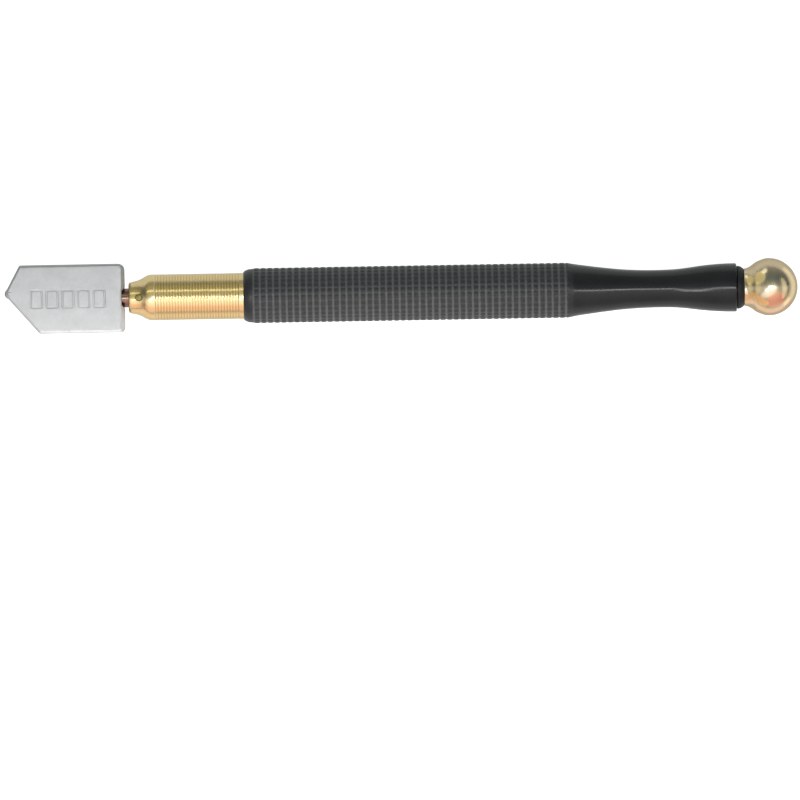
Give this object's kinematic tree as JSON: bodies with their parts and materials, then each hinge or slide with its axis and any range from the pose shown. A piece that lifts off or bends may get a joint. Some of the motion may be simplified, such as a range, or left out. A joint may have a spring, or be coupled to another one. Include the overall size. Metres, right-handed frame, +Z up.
{
  "type": "glass cutter",
  "caption": "Oil-fed glass cutter with a flat wheel head, ribbed brass ferrule, knurled waisted handle and a screw-in ball cap.",
  "frame": {"origin": "under the middle of the tool, on the surface it lies on (bottom centre of the box)", "axes": "+X along the handle axis from the cutting wheel to the ball cap, +Y across the flat head towards its long slope's upper corner, +Z up, square to the flat head"},
  "size_m": [0.175, 0.0152, 0.0127],
  "materials": {
    "head_zinc": "satin blasted zinc casting",
    "wheel_carbide": "ground carbide",
    "pin_steel": "ground",
    "stem_copper": "polished copper tone",
    "wick_cotton": "felted cotton",
    "valve_brass": "turned",
    "seal_rubber": "matt",
    "spring_steel": "drawn wire",
    "handle_plastic": "moulded, knurled grip and glossy waist",
    "ferrule_brass": "bright turned with fine ribs",
    "screw_brass": "dull",
    "ring_rubber": "smooth",
    "cap_brass": "polished"
  },
  "bodies": {
    "barrel": {"handle_barrel": "handle_plastic", "ferrule": "ferrule_brass", "ferrule_gasket": "seal_rubber", "valve_seat": "valve_brass", "stem_lock_screw": "screw_brass", "plunger_spring": "spring_steel"},
    "feed_valve": {"feed_plunger": "valve_brass", "valve_seal": "seal_rubber", "valve_retainer": "spring_steel"},
    "head": {"head_body": "head_zinc", "head_stem": "stem_copper", "stem_wick": "wick_cotton", "wheel_axle": "pin_steel"},
    "wheel": {"cutting_wheel": "wheel_carbide"},
    "cap_ring": {"cap_seal": "ring_rubber"},
    "cap": {"ball_cap": "cap_brass"}
  },
  "joints": [
    {"name": "feed_travel", "type": "slide", "parent": "barrel", "child": "feed_valve", "axis": [1, 0, 0], "range_m": [0, 0.0008], "stiffness_N_per_m": 800, "springref_m": -0.0015, "deforming": ["plunger_spring"]},
    {"name": "head_swivel", "type": "hinge", "parent": "feed_valve", "child": "head", "pos_m": [-0.06, 0, 0.00635], "axis": [1, 0, 0], "range_deg": [-15, 15]},
    {"name": "wheel_spin", "type": "hinge", "parent": "head", "child": "wheel", "pos_m": [-0.0863, 0.00132, 0.00635], "axis": [0, 0, 1], "continuous": true},
    {"name": "cap_lift", "type": "slide", "parent": "barrel", "child": "cap_ring", "axis": [1, 0, 0], "range_m": [0, 0.006]},
    {"name": "cap_turn", "type": "hinge", "parent": "cap_ring", "child": "cap", "pos_m": [0.075, 0, 0.00635], "axis": [1, 0, 0], "range_deg": [0, 2160]}
  ],
  "couplings": [
    {"joint": "cap_turn", "follows": "cap_lift", "rad_per_m": 6283.2}
  ]
}
